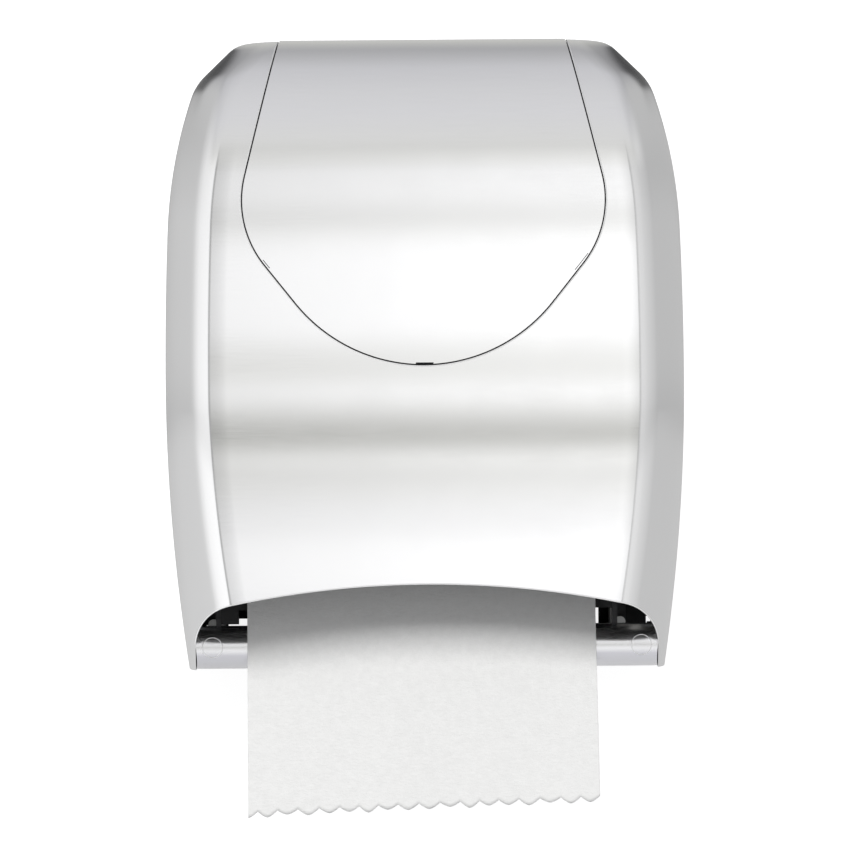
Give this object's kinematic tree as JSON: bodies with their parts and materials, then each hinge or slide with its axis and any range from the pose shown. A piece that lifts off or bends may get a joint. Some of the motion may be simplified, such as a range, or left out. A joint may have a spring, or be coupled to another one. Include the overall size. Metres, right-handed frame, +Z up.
{
  "type": "paper towel dispenser",
  "caption": "Wall-hung touchless roll towel dispenser: silver cover hinged at the bottom, bib-shaped front insert, round nose bar and a towel hanging from the arched mouth.",
  "frame": {"origin": "centre of the wall screw pattern, on the back plate's rear face", "axes": "+X to the viewer's right when facing the front, +Y out of the back into the wall, +Z up"},
  "size_m": [0.2984, 0.2316, 0.4451],
  "materials": {
    "silver_cover": "satin metallic coat over moulded plastic",
    "silver_insert": "satin metallic coat over moulded plastic",
    "silver_bar": "satin metallic coat over moulded plastic",
    "silver_plug": "satin metallic coat",
    "black_chassis": "fine moulded grain",
    "dark_frame": "fine moulded grain",
    "blade_steel": "stamped strip",
    "plated_steel": "bright zinc plate",
    "bent_steel": "folded sheet",
    "spring_steel": "drawn wire",
    "grip_rubber": "ground rubber",
    "roller_core": "moulded",
    "pinch_plastic": "moulded",
    "bush_plastic": "moulded",
    "gear_plastic": "moulded, slightly waxy",
    "motor_can": "drawn can",
    "towel_paper": "creped",
    "roll_paper": "wound creped sheet",
    "core_board": "wound board",
    "hub_plastic": "moulded",
    "arm_plastic": "moulded",
    "cell_wrap": "printed-film look, plain",
    "contact_metal": "plated strip",
    "board_laminate": "solder-resist coat",
    "component_black": "moulded",
    "button_plastic": "moulded",
    "selector_plastic": "moulded",
    "lever_plastic": "moulded",
    "lock_metal": "plated"
  },
  "bodies": {
    "chassis": {"back_plate": "black_chassis", "left_side_frame": "dark_frame", "right_side_frame": "dark_frame", "bottom_tray": "black_chassis", "sensor_plate": "bent_steel", "blade_bar": "black_chassis", "tear_blade": "blade_steel", "blade_screws": "plated_steel", "feed_bushes": "bush_plastic", "pinch_shaft": "plated_steel", "pinch_springs": "spring_steel", "idler_shaft": "plated_steel", "motor": "motor_can", "motor_bracket": "bent_steel", "arm_pins": "plated_steel", "arm_springs": "spring_steel", "paper_web": "towel_paper", "towel_sheet": "towel_paper", "battery_box": "black_chassis", "battery_cells": "cell_wrap", "battery_contacts": "contact_metal", "circuit_board": "board_laminate", "board_components": "component_black", "button_spring": "contact_metal", "microswitch": "component_black", "latch": "bent_steel", "chassis_screws": "plated_steel"},
    "cover": {"cover_shell": "silver_cover", "cover_insert": "silver_insert", "nose_bar": "silver_bar", "nose_bar_plugs": "silver_plug", "cover_hinge_pins": "plated_steel", "lock_body": "lock_metal"},
    "lock_cam": {"lock_cam": "plated_steel"},
    "left_arm": {"left_roll_arm": "arm_plastic"},
    "right_arm": {"right_roll_arm": "arm_plastic"},
    "left_hub": {"left_hub": "hub_plastic"},
    "right_hub": {"right_hub": "hub_plastic"},
    "roll": {"paper_roll": "roll_paper", "paper_core": "core_board"},
    "feed": {"feed_roller": "roller_core", "feed_roller_sleeves": "grip_rubber", "roller_gear": "gear_plastic"},
    "idler": {"idler_gear": "gear_plastic"},
    "pinion": {"motor_pinion": "gear_plastic"},
    "pinch_frame": {"pinch_frame": "pinch_plastic"},
    "pinch_roller": {"pinch_roller": "pinch_plastic"},
    "battery_door": {"battery_door": "dark_frame"},
    "feed_button": {"feed_button": "button_plastic"},
    "length_selector": {"length_selector": "selector_plastic"},
    "lever": {"sensing_lever": "lever_plastic", "lever_shaft": "plated_steel"}
  },
  "joints": [
    {"name": "cover_swing", "type": "hinge", "parent": "chassis", "child": "cover", "pos_m": [0, -0.02, -0.1636], "axis": [1, 0, 0], "range_deg": [0, 88]},
    {"name": "lock_turn", "type": "hinge", "parent": "cover", "child": "lock_cam", "pos_m": [0, -0.026, 0.166], "axis": [0, 0, -1], "range_deg": [0, 90]},
    {"name": "left_arm_swing", "type": "hinge", "parent": "chassis", "child": "left_arm", "pos_m": [-0.1157, -0.014, 0.042], "axis": [0, 0, -1], "range_deg": [0, 8], "stiffness_Nm_per_rad": 0.5, "springref_deg": -5.73},
    {"name": "right_arm_swing", "type": "hinge", "parent": "chassis", "child": "right_arm", "pos_m": [0.1097, -0.014, 0.042], "axis": [0, 0, 1], "range_deg": [0, 8], "stiffness_Nm_per_rad": 0.5, "springref_deg": -5.73},
    {"name": "roll_spin", "type": "hinge", "parent": "chassis", "child": "roll", "pos_m": [-0.003, -0.118, 0.042], "axis": [-1, 0, 0], "continuous": true},
    {"name": "left_hub_spin", "type": "hinge", "parent": "left_arm", "child": "left_hub", "pos_m": [-0.104, -0.118, 0.042], "axis": [-1, 0, 0], "continuous": true},
    {"name": "right_hub_spin", "type": "hinge", "parent": "right_arm", "child": "right_hub", "pos_m": [0.098, -0.118, 0.042], "axis": [-1, 0, 0], "continuous": true},
    {"name": "feed_spin", "type": "hinge", "parent": "chassis", "child": "feed", "pos_m": [-0.003, -0.14, -0.112], "axis": [1, 0, 0], "continuous": true},
    {"name": "idler_spin", "type": "hinge", "parent": "chassis", "child": "idler", "pos_m": [0.112, -0.11369, -0.10242], "axis": [-1, 0, 0], "continuous": true},
    {"name": "pinion_spin", "type": "hinge", "parent": "chassis", "child": "pinion", "pos_m": [0.112, -0.09005, -0.10659], "axis": [1, 0, 0], "continuous": true},
    {"name": "pinch_swing", "type": "hinge", "parent": "chassis", "child": "pinch_frame", "pos_m": [-0.003, -0.164, -0.084], "axis": [-1, 0, 0], "range_deg": [0, 12], "stiffness_Nm_per_rad": 0.3, "springref_deg": -17.19},
    {"name": "pinch_spin", "type": "hinge", "parent": "pinch_frame", "child": "pinch_roller", "pos_m": [-0.003, -0.1696, -0.112], "axis": [-1, 0, 0], "continuous": true},
    {"name": "battery_door_slide", "type": "slide", "parent": "chassis", "child": "battery_door", "axis": [0, 0, 1], "range_m": [0, 0.03]},
    {"name": "feed_button_press", "type": "slide", "parent": "chassis", "child": "feed_button", "axis": [0, 1, 0], "range_m": [0, 0.0015], "stiffness_N_per_m": 300, "deforming": ["button_spring"]},
    {"name": "length_selector_slide", "type": "slide", "parent": "chassis", "child": "length_selector", "axis": [1, 0, 0], "range_m": [-0.003, 0.003]},
    {"name": "lever_swing", "type": "hinge", "parent": "chassis", "child": "lever", "pos_m": [-0.078, -0.06402, -0.05538], "axis": [1, 0, 0], "range_deg": [0, 10], "stiffness_Nm_per_rad": 0.02, "springref_deg": -11.46}
  ],
  "couplings": [
    {"joint": "left_hub_spin", "follows": "roll_spin", "ratio": 1},
    {"joint": "right_hub_spin", "follows": "roll_spin", "ratio": 1},
    {"joint": "feed_spin", "follows": "roll_spin", "ratio": 4.8},
    {"joint": "idler_spin", "follows": "roll_spin", "ratio": 14.4},
    {"joint": "pinion_spin", "follows": "roll_spin", "ratio": 57.6},
    {"joint": "pinch_spin", "follows": "roll_spin", "ratio": 10.667}
  ]
}
